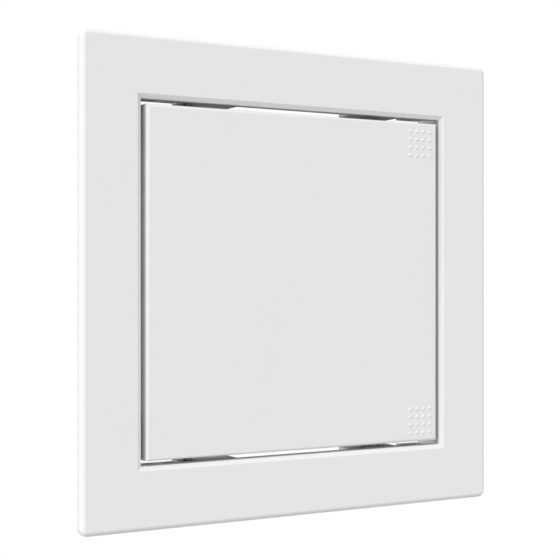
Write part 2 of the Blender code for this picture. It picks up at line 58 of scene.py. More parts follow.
# Sizes of the frame, set to the photograph where they differ a little from the solids
FRONT_Y = -3.5 * MM
FRAME_HALF = 83.7 * MM
EDGE_FILLET = 2.65 * MM
FILLET_PROFILE = 0.43
PLAN_RADIUS = 2.75 * MM
SKIN_Y = -1.5 * MM
LIP_HALF = 81.9 * MM
LIP_RADIUS = 1.0 * MM
OPENING_HALF = 61.9 * MM
OPENING_RADIUS = 0.3 * MM
CHAMFER_HALF = 63.45 * MM
CHAMFER_Y = -2.35 * MM
RIM_OUTER = 63.4 * MM
RIM_LOW = 1.8 * MM
RIM_CORNER = 6.2 * MM
TAB_DEPTH = 10.2 * MM
TAB_IN_LEFT = -23.3 * MM
TAB_IN_RIGHT = 24.1 * MM
TAB_OUT = 45.0 * MM
TAB_ROUND = 1.5 * MM
NOTCH_LEFT = -46.9 * MM
NOTCH_LEFT_Y = 3.0 * MM
NOTCH_RIGHT = 47.9 * MM
LEFT_CORNER = 5.4 * MM
CORNER_Z = 58.6 * MM
CORNER_OPEN_X = 57.4 * MM
CORNER_OPEN_Y = 1.2 * MM
CORNER_POST_Y = 7.5 * MM
RIM_HOLES = (-53.1 * MM, 54.9 * MM)
RIM_HOLE_Y = 3.0 * MM
RIM_HOLE_RADIUS = 2.0 * MM
COLLAR_INNER = 71.0 * MM
COLLAR_INNER_RADIUS = 1.0 * MM
COLLAR_HALF = 73.0 * MM
COLLAR_RADIUS = 3.0 * MM
COLLAR_DEPTH = 24.0 * MM
WEB_WALL = 1.2 * MM
INNER_WEB_BACK_Y = 1.5 * MM
INNER_WEBS = (-16.0 * MM, 0.0, 16.0 * MM)
OUTER_WEBS = (-56.0 * MM, -28.0 * MM, 0.0, 28.0 * MM, 56.0 * MM)
FIXING_OFFSET = 45.0 * MM
FIXING_DEPTH = 14.0 * MM
FIXING_RADIUS = 2.1 * MM
HINGE_X = -41.5 * MM
HINGE_Y = 4.0 * MM
PIN_RADIUS = 1.5 * MM
PIN_TIP_ROUND = 0.35 * MM
HEAD_RADIUS = 2.6 * MM
HEAD_DEPTH = 1.0 * MM
BOSS_RADIUS = 3.4 * MM
BOSS_LENGTH = 2.8 * MM

# Sizes of the door
DOOR_HALF = 60.2 * MM
DOOR_FILLET = 1.2 * MM
SKIRT_Y = 4.5 * MM
SKIRT_WALL = 1.5 * MM
SKIRT_CORNER = 0.5 * MM
PLATE_Y = -1.5 * MM
RIB_OFFSET = 13.0 * MM
RIB_BACK_Y = 1.5 * MM
LUG_RADIUS = 4.0 * MM
LUG_LENGTH = 11.0 * MM
PIN_IN_LUG = 8.0 * MM
DOT_CENTRE = 52.3 * MM
DOT_PITCH = 3.0 * MM
DOT_ROWS = 4
DOT_RADIUS = 0.60 * MM
DOT_HEIGHT = 0.4 * MM

# Sizes of the catches and stops
CATCH_X = 34.25 * MM
BOLT_Y = 1.5 * MM
BOLT_BACK_Y = 6.5 * MM
BOLT_TAIL_Z = 49.4 * MM
BOLT_SHOULDER_Z = 58.4 * MM
BOLT_NECK_Z = 61.5 * MM
BOLT_TIP_Z = 62.9 * MM
BOLT_HALF = 4.5 * MM
NOSE_HALF = 3.2 * MM
NOSE_FLAT = 0.4 * MM
NOSE_TIP_HALF = 2.8 * MM
NOTCH_HALF = 4.0 * MM
NOTCH_BACK_Y = 7.1 * MM
CHANNEL_HALF = 4.8 * MM
CHANNEL_Y = 1.2 * MM
CHANNEL_END = 1.8 * MM
GUIDE_HALF = 8.3 * MM
GUIDE_LOW_Z = 38.3 * MM
GUIDE_BACK_Y = 6.8 * MM
GUIDE_ROUND = 0.6 * MM
SPRING_LOW_Z = 40.4 * MM
SPRING_RADIUS = 1.35 * MM
SPRING_WIRE = 0.22 * MM
SPRING_TURNS = 6
SPRING_STEPS = 28
COVER_Y = 7.1 * MM
COVER_BACK_Y = 8.3 * MM
COVER_ROUND = 1.2 * MM
PEG_RADIUS = 1.0 * MM
PEG_LENGTH = 2.6 * MM
PEG_ASIDE = 1.75 * MM
PEG_INSET = 3.5 * MM
PAD_X = 59.45 * MM
PAD_Z = 52.8 * MM
PAD_RADIUS = 2.2 * MM
PAD_Y = 4.8 * MM
PAD_BACK_Y = 6.0 * MM
PAD_RING = 0.9 * MM
PAD_DISH = 0.15 * MM
SHELF_Y = 6.3 * MM
SHELF_BACK_Y = 10.1 * MM
SHELF_END_X = 56.4 * MM
SHELF_ROOT_X = OPENING_HALF + 0.75 * MM
SHELF_HALF = 5.5 * MM
SHELF_TAPER = 0.5
SHELF_ROUND = 0.8 * MM

# Small roundings, clearance between pieces, and how far shapes overlap before they are joined or cut
CRISP = 0.2 * MM
EASED = 0.25 * MM
SOFT = 0.4 * MM
CLEAR = 0.3 * MM
MERGE = 0.4 * MM
BITE = 0.1 * MM

# Where painted shade turns the white plastic matt and grey down the gap round the door, on the door's sides
# and the opening's walls, away from the door's right-hand corners: from nought to full, then back to nought
PAINTED_SHADE_GREY = (0.50, 0.50, 0.51)
SHADE_MASK_START = (DOOR_HALF - 0.3 * MM, DOOR_HALF - 0.1 * MM)
SHADE_MASK_END = (OPENING_HALF + 0.05 * MM, OPENING_HALF + 0.15 * MM)
SHADE_MASK_DEPTH = (CHAMFER_Y - 0.1 * MM, CHAMFER_Y + 0.9 * MM)
UNSHADED_CORNER = (57.5 * MM, 58.5 * MM)
UNSHADED_DEPTH = (0.0, 0.8 * MM)

# Light: a dome with a slope, a key in front, less light behind, ahead and low on the right
WHITE = (1.0, 1.0, 1.0, 1.0)
DOME = 0.833
DOME_SLOPE = (-0.47, 0.0, 0.41)
KEY = 1.15
KEY_WAY = (-0.42, -0.74, 0.52)
FRONT_WAY = (0.0, -1.0, 0.0)
BACK_WAY = (0.0, 1.0, 0.0)
BEHIND = 1.3
FILL = 2.3
AHEAD = 0.25
LOW = 0.33
LOW_WAY = (0.70, 0.0, -0.70)
DARKEST = 0.02
FLOOR_SIZE = 1.2
FLOOR_Z = -0.30


# Working by hand

def take(piece):
    bpy.ops.object.select_all(action="DESELECT")
    piece.select_set(True)
    bpy.context.view_layer.objects.active = piece


def new_piece(name):
    """Names what was just added, and leaves its place in its mesh."""
    bpy.ops.object.transform_apply(location=True, rotation=True, scale=True)
    piece = bpy.context.active_object
    piece.name = name
    return piece


def block(name, low, high):
    size = [far - near for near, far in zip(low, high)]
    middle = [(near + far) / 2 for near, far in zip(low, high)]
    bpy.ops.object.select_all(action="DESELECT")
    bpy.ops.mesh.primitive_cube_add(size=1.0, location=middle, scale=size)
    return new_piece(name)


def rod(name, centre, radius, low, high, axis="Z", sides=32):
    """A round bar along one axis. The centre gives the other two axes in order."""
    level = (low + high) / 2
    first, second = centre
    place = {"X": (level, first, second), "Y": (first, level, second), "Z": (first, second, level)}[axis]
    quarter = math.radians(90.0)
    lean = {"X": (0.0, quarter, 0.0), "Y": (quarter, 0.0, 0.0), "Z": (0.0, 0.0, 0.0)}[axis]
    bpy.ops.object.select_all(action="DESELECT")
    bpy.ops.mesh.primitive_cylinder_add(
        vertices=sides, radius=radius, depth=high - low, location=place, rotation=lean)
    return new_piece(name)


def edit(piece):
    take(piece)
    bpy.ops.object.mode_set(mode="EDIT")


def leave():
    bpy.ops.object.mode_set(mode="OBJECT")


def pick(piece, kind, test):
    """Selects the corners, edges or faces that pass a test of their place or direction."""
    bpy.ops.mesh.select_mode(type=kind)
    bpy.ops.mesh.select_all(action="DESELECT")
    bm = bmesh.from_edit_mesh(piece.data)
    chosen = [part for part in {"VERT": bm.verts, "EDGE": bm.edges, "FACE": bm.faces}[kind] if test(part)]
    for part in chosen:
        part.select_set(True)
    bm.select_flush_mode()
    bmesh.update_edit_mesh(piece.data)
    return len(chosen)


def near(value, wanted):
    return abs(value - wanted) < SMALL


def sharp(edge):
    return len(edge.link_faces) == 2 and edge.calc_face_angle(0.0) > math.radians(20.0)


def along(edge, axis):
    return all(near(edge.verts[0].co[other], edge.verts[1].co[other]) for other in range(3) if other != axis)


def middle(edge):
    return (edge.verts[0].co + edge.verts[1].co) / 2


def facing(axis, sign):
    return lambda face: face.normal[axis] * sign > 0.99


def push(vector):
    bpy.ops.mesh.extrude_region_move(TRANSFORM_OT_translate={"value": vector})


def soften(piece, test, width, segments=3, profile=0.5):
    """Rounds the edges that pass the test."""
    edit(piece)
    pick(piece, "EDGE", lambda edge: sharp(edge) and test(edge))
    bpy.ops.mesh.bevel(offset=width, segments=segments, profile=profile, clamp_overlap=True)
    leave()


def soften_all(piece, width, segments=2):
    take(piece)
    step = piece.modifiers.new("edges", "BEVEL")
    step.width = width
    step.segments = segments
    step.limit_method = "ANGLE"
    step.angle_limit = math.radians(40.0)
    bpy.ops.object.modifier_apply(modifier=step.name)


def gather(pieces):
    """Joins separate shapes into one object."""
    take(pieces[0])
    for piece in pieces[1:]:
        piece.select_set(True)
    bpy.ops.object.join()
    return bpy.context.active_object


def copy_of(piece, name):
    copy = piece.copy()
    copy.data = piece.data.copy()
    copy.name = name
    bpy.context.scene.collection.objects.link(copy)
    return copy


def tidy_mesh(piece):
    edit(piece)
    bpy.ops.mesh.select_all(action="SELECT")
    bpy.ops.mesh.remove_doubles(threshold=SMALL / 10)
    bpy.ops.mesh.normals_make_consistent(inside=False)
    leave()


def turned_over(piece, name):
    """A copy mirrored to below the middle."""
    copy = copy_of(piece, name)
    edit(copy)
    bpy.ops.mesh.select_all(action="SELECT")
    bpy.ops.transform.resize(value=(1.0, 1.0, -1.0), center_override=(0.0, 0.0, 0.0))
    leave()
    tidy_mesh(copy)
    return copy


def above_and_below(piece):
    return gather([piece, turned_over(piece, piece.name + "_below")])


def on_four_sides(piece):
    """Repeats what is above the opening on its other three sides."""
    all_sides = [piece]
    for quarter in range(1, 4):
        copy = copy_of(piece, piece.name)
        edit(copy)
        bpy.ops.mesh.select_all(action="SELECT")
        bpy.ops.transform.rotate(
            value=math.radians(90.0) * quarter, orient_axis="Y", center_override=(0.0, 0.0, 0.0))
        leave()
        all_sides.append(copy)
    return gather(all_sides)


def shape(piece, other, operation):
    take(piece)
    step = piece.modifiers.new("step", "BOOLEAN")
    step.operation = operation
    step.solver = "EXACT"
    step.object = other
    bpy.ops.object.modifier_apply(modifier=step.name)
    bpy.data.objects.remove(other, do_unlink=True)


def add(piece, other):
    shape(piece, other, "UNION")


def cut(piece, other):
    shape(piece, other, "DIFFERENCE")


def finish_piece(piece, body, node, finish, angle=35.0):
    tidy_mesh(piece)
    take(piece)
    bpy.ops.object.shade_smooth_by_angle(angle=math.radians(angle))
    step = piece.modifiers.new("normals", "WEIGHTED_NORMAL")
    step.keep_sharp = True
    bpy.ops.object.modifier_apply(modifier=step.name)
    piece.data.materials.clear()
    piece.data.materials.append(finish)
    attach(piece, body)
    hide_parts(node)


# Frame

def frame_ring():
    """The frame's section, drawn on a diagonal point by point and spun round in four steps."""
    outline = [
        (FRAME_HALF, 0.0), (FRAME_HALF, FRONT_Y), (CHAMFER_HALF, FRONT_Y), (OPENING_HALF, CHAMFER_Y),
        (OPENING_HALF, TAB_DEPTH), (RIM_OUTER, TAB_DEPTH), (RIM_OUTER, SKIN_Y), (COLLAR_INNER, SKIN_Y),
        (COLLAR_INNER, COLLAR_DEPTH), (COLLAR_HALF, COLLAR_DEPTH), (COLLAR_HALF, SKIN_Y),
        (LIP_HALF, SKIN_Y), (LIP_HALF, 0.0),
    ]
    corners = [Vector((half, y, half)) for half, y in outline]
    bpy.ops.object.select_all(action="DESELECT")
    bpy.ops.mesh.primitive_plane_add(size=MM, location=corners[0])
    ring = new_piece("frame_body")
    edit(ring)
    bpy.ops.mesh.select_all(action="SELECT")
    bpy.ops.mesh.merge(type="CENTER")
    for start, end in zip(corners, corners[1:]):
        bpy.ops.mesh.extrude_vertices_move(TRANSFORM_OT_translate={"value": end - start})
    ends = (corners[0], corners[-1])
    pick(ring, "VERT", lambda vert: any((vert.co - end).length < SMALL for end in ends))
    bpy.ops.mesh.edge_face_add()
    bpy.ops.mesh.select_all(action="SELECT")
    bpy.ops.mesh.spin(steps=4, angle=math.tau, center=(0.0, 0.0, 0.0), axis=(0.0, 1.0, 0.0))
    leave()
    tidy_mesh(ring)
    return ring


def frame_corners(ring):
    """Rounds the corners seen from the front, then the front's outer edge and its inner chamfer."""
    for half, radius, segments in (
            (FRAME_HALF, PLAN_RADIUS, 8), (COLLAR_HALF, COLLAR_RADIUS, 6),
            (COLLAR_INNER, COLLAR_INNER_RADIUS, 4), (LIP_HALF, LIP_RADIUS, 3),
            (OPENING_HALF, OPENING_RADIUS, 2)):
        soften(ring, lambda edge: along(edge, 1) and near(abs(middle(edge).x), half)
               and near(abs(middle(edge).z), half), radius, segments)

    def reach(edge):
        return max(abs(middle(edge).x), abs(middle(edge).z))

    def level(edge, y):
        return all(near(vert.co.y, y) for vert in edge.verts)

    soften(ring, lambda edge: level(edge, FRONT_Y) and reach(edge) > FRAME_HALF - PLAN_RADIUS,
           EDGE_FILLET, 8, FILLET_PROFILE)
    soften(ring, lambda edge: level(edge, FRONT_Y) and reach(edge) < RIM_OUTER + MM, CRISP, 2)
    soften(ring, lambda edge: level(edge, CHAMFER_Y), CRISP, 2)
    soften(ring, lambda edge: level(edge, COLLAR_DEPTH), SOFT, 3)


def rim_cuts():
    """What is taken off the rim between its tabs, with the notches that the bolts snap into."""
    past = TAB_DEPTH + MERGE
    inner, outer = OPENING_HALF - MERGE, RIM_OUTER + MERGE
    cuts = [
        block("cut", (TAB_IN_LEFT, RIM_LOW, inner), (TAB_IN_RIGHT, past, outer)),
        block("cut", (TAB_OUT, RIM_LOW, inner), (NOTCH_RIGHT, past, outer)),
        block("cut", (NOTCH_LEFT, NOTCH_LEFT_Y, inner), (-TAB_OUT, past, outer)),
        block("cut", (CATCH_X - NOTCH_HALF, RIM_LOW, inner), (CATCH_X + NOTCH_HALF, NOTCH_BACK_Y, outer)),
    ]
    ends = above_and_below(gather(cuts))
    left = block("cut", (-outer, RIM_LOW, -TAB_OUT), (-inner, past, TAB_OUT))
    right = block("cut", (inner, RIM_LOW, -TAB_OUT), (outer, past, TAB_OUT))
    return gather([ends, left, right])


def corner_cuts():
    """The rim's corners are less deep than its tabs, with a round hole above and below."""
    past = TAB_DEPTH + MERGE
    inner, outer = OPENING_HALF - MERGE, RIM_OUTER + MERGE
    step = CORNER_OPEN_X - BITE
    cuts = [
        block("cut", (-outer, LEFT_CORNER, inner), (NOTCH_LEFT + BITE, past, outer)),
        block("cut", (-outer, LEFT_CORNER, CORNER_Z), (-inner, past, inner + BITE)),
        block("cut", (NOTCH_RIGHT - BITE, RIM_CORNER, inner), (step + 2 * BITE, past, outer)),
        block("cut", (step, CORNER_OPEN_Y, inner), (OPENING_HALF, past, outer)),
        block("cut", (inner, CORNER_POST_Y, CORNER_Z), (outer, past, outer)),
    ]
    for cutter in cuts[1:]:
        add(cuts[0], cutter)
    holes = [rod("hole", (x, RIM_HOLE_Y), RIM_HOLE_RADIUS, inner, outer) for x in RIM_HOLES]
    return above_and_below(gather([cuts[0]] + holes))


def round_tabs(ring):
    def on_tab(edge):
        place = middle(edge)
        over = OPENING_HALF - SMALL < abs(place.z) < RIM_OUTER + SMALL
        beside = OPENING_HALF - SMALL < abs(place.x) < RIM_OUTER + SMALL
        ends = any(near(place.x, x) for x in (TAB_IN_LEFT, TAB_IN_RIGHT, -TAB_OUT, TAB_OUT))
        level = near(edge.verts[0].co.y, TAB_DEPTH) and near(edge.verts[1].co.y, TAB_DEPTH)
        return level and ((along(edge, 2) and over and ends)
                          or (along(edge, 0) and beside and near(abs(place.z), TAB_OUT)))

    soften(ring, on_tab, TAB_ROUND, 5)


def frame_webs():
    inner = [block("web", (x - WEB_WALL / 2, SKIN_Y - MERGE, RIM_OUTER - MERGE),
                   (x + WEB_WALL / 2, INNER_WEB_BACK_Y, COLLAR_INNER + MERGE)) for x in INNER_WEBS]
    outer = [block("web", (x - WEB_WALL / 2, SKIN_Y - MERGE, COLLAR_HALF - MERGE),
                   (x + WEB_WALL / 2, -CLEAR, LIP_HALF + MERGE)) for x in OUTER_WEBS]
    return on_four_sides(gather(inner + outer))


def stop_shelf():
    """A bracket that narrows towards its free end."""
    shelf = block("shelf", (SHELF_END_X, SHELF_Y, PAD_Z - SHELF_HALF),
                  (SHELF_ROOT_X, SHELF_BACK_Y, PAD_Z + SHELF_HALF))
    edit(shelf)
    pick(shelf, "FACE", facing(0, -1))
    bpy.ops.transform.resize(value=(1.0, 1.0, SHELF_TAPER), center_override=(0.0, 0.0, PAD_Z))
    leave()
    soften(shelf, lambda edge: along(edge, 1) and middle(edge).x < OPENING_HALF, SHELF_ROUND, 4)
    return above_and_below(shelf)


def fixing_holes():
    low, high = COLLAR_INNER - MERGE, COLLAR_HALF + MERGE
    holes = [rod("hole", (side * FIXING_OFFSET, FIXING_DEPTH), FIXING_RADIUS, low, high) for side in (-1, 1)]
    return on_four_sides(gather(holes))


def frame_body():
    ring = frame_ring()
    frame_corners(ring)
    cut(ring, rim_cuts())
    round_tabs(ring)
    cut(ring, corner_cuts())
    add(ring, frame_webs())
    add(ring, stop_shelf())
    boss_end = RIM_OUTER + BOSS_LENGTH
    boss = rod("boss", (HINGE_X, HINGE_Y), BOSS_RADIUS, RIM_OUTER - MERGE, boss_end)
    soften(boss, lambda edge: near(middle(edge).z, boss_end), SOFT, 3)
    add(ring, above_and_below(boss))
    bore = rod("bore", (HINGE_X, HINGE_Y), PIN_RADIUS + CLEAR, OPENING_HALF - MERGE, boss_end + MERGE)
    cut(ring, above_and_below(bore))
    cut(ring, fixing_holes())
    return ring


# Door

def door_tray():
    """A slab with its back sunk in, leaving a skirt all round."""
    tray = block("door_leaf", (-DOOR_HALF, FRONT_Y, -DOOR_HALF), (DOOR_HALF, SKIRT_Y, DOOR_HALF))
    edit(tray)
    pick(tray, "FACE", facing(1, 1))
    bpy.ops.mesh.inset(thickness=SKIRT_WALL)
    push((0.0, PLATE_Y - SKIRT_Y, 0.0))
    leave()
    inner = DOOR_HALF - SKIRT_WALL
    soften(tray, lambda edge: along(edge, 1) and near(abs(middle(edge).x), inner), SKIRT_CORNER, 3)
    soften(tray, lambda edge: near(middle(edge).y, FRONT_Y), DOOR_FILLET, 8)
    soften(tray, lambda edge: along(edge, 1) and near(abs(middle(edge).x), DOOR_HALF), CRISP, 2)
    soften(tray, lambda edge: near(middle(edge).y, SKIRT_Y), EASED, 2)
    return tray


def door_rib(offset, upright):
    reach = DOOR_HALF - SKIRT_WALL / 2
    half = WEB_WALL / 2
    low, high = (-reach, PLATE_Y - MERGE, offset - half), (reach, RIB_BACK_Y, offset + half)
    if upright:
        low, high = low[::-1], high[::-1]
    rib = block("rib", low, high)
    soften(rib, lambda edge: near(middle(edge).y, RIB_BACK_Y), EASED, 2)
    return rib


def hinge_lug():
    """A block with its back rounded about the pin."""
    low_z, high_z = DOOR_HALF - LUG_LENGTH, DOOR_HALF - BITE
    lug = block("lug", (HINGE_X - LUG_RADIUS, PLATE_Y - MERGE, low_z),
                (HINGE_X + LUG_RADIUS, HINGE_Y + LUG_RADIUS, high_z))
    soften(lug, lambda edge: along(edge, 2) and middle(edge).y > HINGE_Y, LUG_RADIUS - SMALL, 10)
    return lug


def bolt_guide():
    guide = block("guide", (CATCH_X - GUIDE_HALF, PLATE_Y - MERGE, GUIDE_LOW_Z),
                  (CATCH_X + GUIDE_HALF, GUIDE_BACK_Y, DOOR_HALF - BITE))
    soften(guide, lambda edge: along(edge, 1) and middle(edge).z < DOOR_HALF - MM, GUIDE_ROUND, 3)
    return guide


def guide_cuts():
    """The channel for bolt and spring, its mouth through the skirt, and the holes for the pegs."""
    past = GUIDE_BACK_Y + MERGE
    skirt_inner = DOOR_HALF - SKIRT_WALL - BITE / 2
    channel = block("channel", (CATCH_X - CHANNEL_HALF, CHANNEL_Y, GUIDE_LOW_Z + CHANNEL_END),
                    (CATCH_X + CHANNEL_HALF, past, skirt_inner))
    edit(channel)
    pick(channel, "FACE", facing(2, 1))
    bpy.ops.mesh.extrude_region()
    share = (NOSE_HALF + CLEAR) / CHANNEL_HALF
    bpy.ops.transform.resize(value=(share, 1.0, 1.0), center_override=(CATCH_X, 0.0, skirt_inner))
    push((0.0, 0.0, SKIRT_WALL + MERGE))
    leave()
    pegs = [rod("peg_hole", spot, PEG_RADIUS + CLEAR, GUIDE_BACK_Y - PEG_LENGTH, past, "Y", 20)
            for spot in peg_spots()]
    return gather([channel] + pegs)


def peg_spots():
    side = CHANNEL_HALF + PEG_ASIDE
    levels = (GUIDE_LOW_Z + PEG_INSET, DOOR_HALF - PEG_INSET)
    return [(CATCH_X + end * side, z) for end in (-1, 1) for z in levels]


def dots():
    """Low domes for the fingers, one modelled and the rest copied."""
    start = DOT_CENTRE - (DOT_ROWS - 1) / 2 * DOT_PITCH
    bpy.ops.object.select_all(action="DESELECT")
    bpy.ops.mesh.primitive_uv_sphere_add(
        segments=20, ring_count=12, radius=1.0, location=(start, FRONT_Y, start),
        rotation=(math.radians(90.0), 0.0, 0.0), scale=(DOT_RADIUS, DOT_RADIUS, DOT_HEIGHT))
    first = new_piece("dot")
    edit(first)
    pick(first, "VERT", lambda vert: vert.co.y > FRONT_Y + SMALL)
    bpy.ops.mesh.delete(type="VERT")
    pick(first, "EDGE", lambda edge: edge.is_boundary)
    push((0.0, MERGE, 0.0))
    bpy.ops.mesh.edge_face_add()
    leave()
    row = [first]
    for column in range(DOT_ROWS):
        for line in range(DOT_ROWS):
            if column or line:
                copy = copy_of(first, "dot")
                edit(copy)
                bpy.ops.mesh.select_all(action="SELECT")
                bpy.ops.transform.translate(value=(column * DOT_PITCH, 0.0, line * DOT_PITCH))
                leave()
                row.append(copy)
    return above_and_below(gather(row))


def door_leaf():
    tray = door_tray()
    add(tray, gather([door_rib(-RIB_OFFSET, True), door_rib(RIB_OFFSET, True)]))
    add(tray, gather([door_rib(-RIB_OFFSET, False), door_rib(RIB_OFFSET, False)]))
    add(tray, above_and_below(hinge_lug()))
    add(tray, above_and_below(bolt_guide()))
    bore_end = DOOR_HALF - PIN_IN_LUG - CLEAR
    bore = rod("bore", (HINGE_X, HINGE_Y), PIN_RADIUS + CLEAR, bore_end, DOOR_HALF + MERGE)
    cut(tray, above_and_below(bore))
    cut(tray, above_and_below(guide_cuts()))
    add(tray, dots())
    return tray


# Small pieces, modelled above the middle

def hinge_pin():
    head = RIM_OUTER + BOSS_LENGTH + CLEAR
    pin = rod("hinge_pin_above", (HINGE_X, HINGE_Y), PIN_RADIUS, DOOR_HALF - PIN_IN_LUG, head)
    soften(pin, lambda edge: middle(edge).z < DOOR_HALF - PIN_IN_LUG + SMALL, PIN_TIP_ROUND, 3)
    edit(pin)
    pick(pin, "FACE", facing(2, 1))
    wider = HEAD_RADIUS / PIN_RADIUS
    bpy.ops.mesh.extrude_region()
    bpy.ops.transform.resize(value=(wider, wider, 1.0), center_override=(HINGE_X, HINGE_Y, head))
    push((0.0, 0.0, HEAD_DEPTH))
    leave()
    soften(pin, lambda edge: near(middle(edge).z, head + HEAD_DEPTH), SOFT, 4)
    return pin


def snap_bolt():
    """Cut across at its shoulders, widened below them, and drawn to a bevelled nose above."""
    bolt = block("snap_bolt_above", (CATCH_X - NOSE_HALF, BOLT_Y, BOLT_TAIL_Z),
                 (CATCH_X + NOSE_HALF, BOLT_BACK_Y, BOLT_NECK_Z))

    def above_shoulder(face):
        return face.calc_center_median().z > BOLT_SHOULDER_Z + SMALL

    edit(bolt)
    bpy.ops.mesh.select_all(action="SELECT")
    bpy.ops.mesh.bisect(plane_co=(0.0, 0.0, BOLT_SHOULDER_Z), plane_no=(0.0, 0.0, 1.0))
    for sign in (-1, 1):
        pick(bolt, "FACE", lambda face: facing(0, sign)(face) and not above_shoulder(face))
        push((sign * (BOLT_HALF - NOSE_HALF), 0.0, 0.0))
    pick(bolt, "FACE", lambda face: facing(2, 1)(face) and above_shoulder(face))
    push((0.0, 0.0, BOLT_TIP_Z - BOLT_NECK_Z))
    flat = (NOSE_TIP_HALF / NOSE_HALF, NOSE_FLAT / (BOLT_BACK_Y - BOLT_Y) * 2, 1.0)
    bpy.ops.transform.resize(value=flat, center_override=(CATCH_X, (BOLT_Y + BOLT_BACK_Y) / 2, BOLT_TIP_Z))
    leave()
    tidy_mesh(bolt)
    soften_all(bolt, CRISP, 3)
    return bolt


def bolt_spring():
    """A ring of wire wound up with a Screw modifier, with a closed coil at each end."""
    axis = Vector((CATCH_X, (BOLT_Y + BOLT_BACK_Y) / 2, SPRING_LOW_Z + SPRING_WIRE))
    length = BOLT_TAIL_Z - CLEAR - SPRING_WIRE - axis.z
    bpy.ops.object.select_all(action="DESELECT")
    bpy.ops.mesh.primitive_circle_add(vertices=10, radius=SPRING_WIRE, location=axis)
    wire = bpy.context.active_object
    wire.name = "bolt_spring_above"
    edit(wire)
    bpy.ops.mesh.select_all(action="SELECT")
    bpy.ops.transform.rotate(value=math.radians(90.0), orient_axis="X", center_override=axis)
    bpy.ops.transform.translate(value=(SPRING_RADIUS, 0.0, 0.0))
    leave()
    step = wire.modifiers.new("wind", "SCREW")
    step.axis = "Z"
    step.screw_offset = length / SPRING_TURNS
    step.iterations = SPRING_TURNS
    step.steps = SPRING_STEPS
    step.render_steps = SPRING_STEPS
    bpy.ops.object.modifier_apply(modifier=step.name)
    bpy.ops.object.transform_apply(location=True, rotation=True, scale=True)
    edit(wire)
    pick(wire, "EDGE", lambda edge: edge.is_boundary)
    bpy.ops.mesh.edge_face_add()
    leave()
    coils = [wire]
    for z in (axis.z, axis.z + length):
        bpy.ops.object.select_all(action="DESELECT")
        bpy.ops.mesh.primitive_torus_add(
            major_segments=40, minor_segments=10, major_radius=SPRING_RADIUS, minor_radius=SPRING_WIRE,
            location=(axis.x, axis.y, z))
        coils.append(new_piece("coil"))
    return gather(coils)


def guide_cover():
    """A plate with its corners taken off and four pegs behind it that press into the guide."""
    cover = block("guide_cover_above", (CATCH_X - GUIDE_HALF, COVER_Y, GUIDE_LOW_Z),
                  (CATCH_X + GUIDE_HALF, COVER_BACK_Y, DOOR_HALF - BITE))
    soften(cover, lambda edge: along(edge, 1), COVER_ROUND, 4)
    soften(cover, lambda edge: near(middle(edge).y, COVER_BACK_Y), EASED, 3)
    low = GUIDE_BACK_Y - PEG_LENGTH + CLEAR
    pegs = [rod("peg", spot, PEG_RADIUS, low, COVER_Y + MERGE, "Y", 20) for spot in peg_spots()]
    pins = gather(pegs)
    soften(pins, lambda edge: near(middle(edge).y, low), EASED, 2)
    add(cover, pins)
    return cover


def stop_pad():
    pad = rod("stop_pad_above", (PAD_X, PAD_Z), PAD_RADIUS, PAD_Y, PAD_BACK_Y, "Y", 40)
    soften(pad, lambda edge: near(middle(edge).y, PAD_Y), SOFT, 4)
    edit(pad)
    pick(pad, "FACE", facing(1, -1))
    bpy.ops.mesh.inset(thickness=PAD_RING)
    push((0.0, PAD_DISH, 0.0))
    leave()
    return pad


# Finishes

class Link:
    """A node's output that can be used in sums."""

    def __init__(self, recipe, socket):
        self.recipe = recipe
        self.socket = socket

    def sum(self, operation, first, second):
        return self.recipe.node("ShaderNodeMath", {"operation": operation}, {0: first, 1: second})

    def __add__(self, other):
        return self.sum("ADD", self, other)

    def __radd__(self, other):
        return self.sum("ADD", other, self)

    def __sub__(self, other):
        return self.sum("SUBTRACT", self, other)

    def __rsub__(self, other):
        return self.sum("SUBTRACT", other, self)

    def __mul__(self, other):
        return self.sum("MULTIPLY", self, other)

    def __rmul__(self, other):
        return self.sum("MULTIPLY", other, self)


class Recipe:
    """The nodes of one finish, or of the studio's light."""

    def __init__(self, holder):
        holder.use_nodes = True
        self.tree = holder.node_tree
        self.tree.nodes.clear()

    def node(self, kind, settings=None, sockets=None, out=0):
        made = self.tree.nodes.new(kind)
        for name, value in (settings or {}).items():
            if name == "stops":
                for stop, (position, shade) in zip(made.color_ramp.elements, value):
                    stop.position = position
                    stop.color = (shade, shade, shade, 1.0)
            else:
                setattr(made, name, value)
        for name, value in (sockets or {}).items():
            if isinstance(value, Link):
                self.tree.links.new(value.socket, made.inputs[name])
            else:
                made.inputs[name].default_value = value
        return Link(self, made.outputs[out]) if made.outputs else made


def noise(recipe, place, scale, detail=2.0):
    sockets = {"Vector": place, "Scale": scale, "Detail": detail, "Roughness": 0.55}
    return recipe.node("ShaderNodeTexNoise", None, sockets, "Fac")


def blend(recipe, factor, first, second):
    sockets = {0: factor, 6: (*first, 1.0), 7: (*second, 1.0)}
    return recipe.node("ShaderNodeMix", {"data_type": "RGBA"}, sockets, 2)


def ramp(recipe, value, span):
    """Nought before the span and one after it."""
    sockets = {"Value": value, "From Min": span[0], "From Max": span[1]}
    return recipe.node("ShaderNodeMapRange", {"interpolation_type": "SMOOTHSTEP"}, sockets)


def painted_gap_shade(recipe, place):
    """How much painted shade a point gets: how far it lies down the gap round the door, away from its open
    right-hand corners.
    """
    def either(operation, first, second=0.0):
        return recipe.node("ShaderNodeMath", {"operation": operation}, {0: first, 1: second})

    parts = [recipe.node("ShaderNodeSeparateXYZ", None, {0: place}, axis) for axis in range(3)]
    across, upright = either("ABSOLUTE", parts[0]), either("ABSOLUTE", parts[2])
    reach = either("MAXIMUM", across, upright)
    along_gap = either("MINIMUM", parts[0], upright)
    over_gap = ramp(recipe, reach, SHADE_MASK_START) - ramp(recipe, reach, SHADE_MASK_END)
    corner = ramp(recipe, along_gap, UNSHADED_CORNER) * ramp(recipe, parts[1], UNSHADED_DEPTH)
    return ramp(recipe, parts[1], SHADE_MASK_DEPTH) * over_gap * (1.0 - corner)


